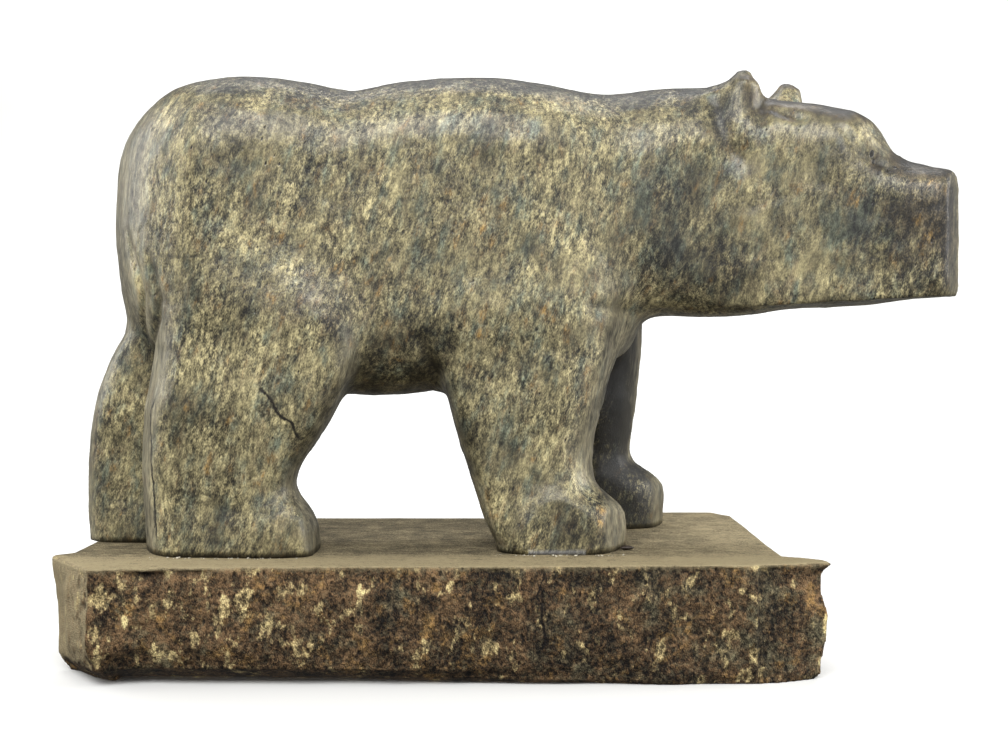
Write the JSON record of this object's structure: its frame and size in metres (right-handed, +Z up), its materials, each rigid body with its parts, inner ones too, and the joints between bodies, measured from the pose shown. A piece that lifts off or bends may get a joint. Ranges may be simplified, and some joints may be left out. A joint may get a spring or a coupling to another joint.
{
  "type": "soapstone bear carving",
  "caption": "Walking bear carved from one soft stone, its head turned, standing on a rough split stone slab.",
  "frame": {"origin": "middle of the footprint, on the surface that the slab stands on", "axes": "+X the way the bear walks, +Y its left side, +Z up"},
  "size_m": [0.3064, 0.1362, 0.2061],
  "materials": {
    "carved_soapstone": "hand carved, sanded and waxed: mottled olive and grey-green with cream flecks, satin",
    "split_stone": "rubbed taupe top, raw split sides in dark brown with ochre and cream patches, dull"
  },
  "bodies": {
    "root": {"bear": "carved_soapstone", "base_slab": "split_stone"}
  },
  "joints": []
}
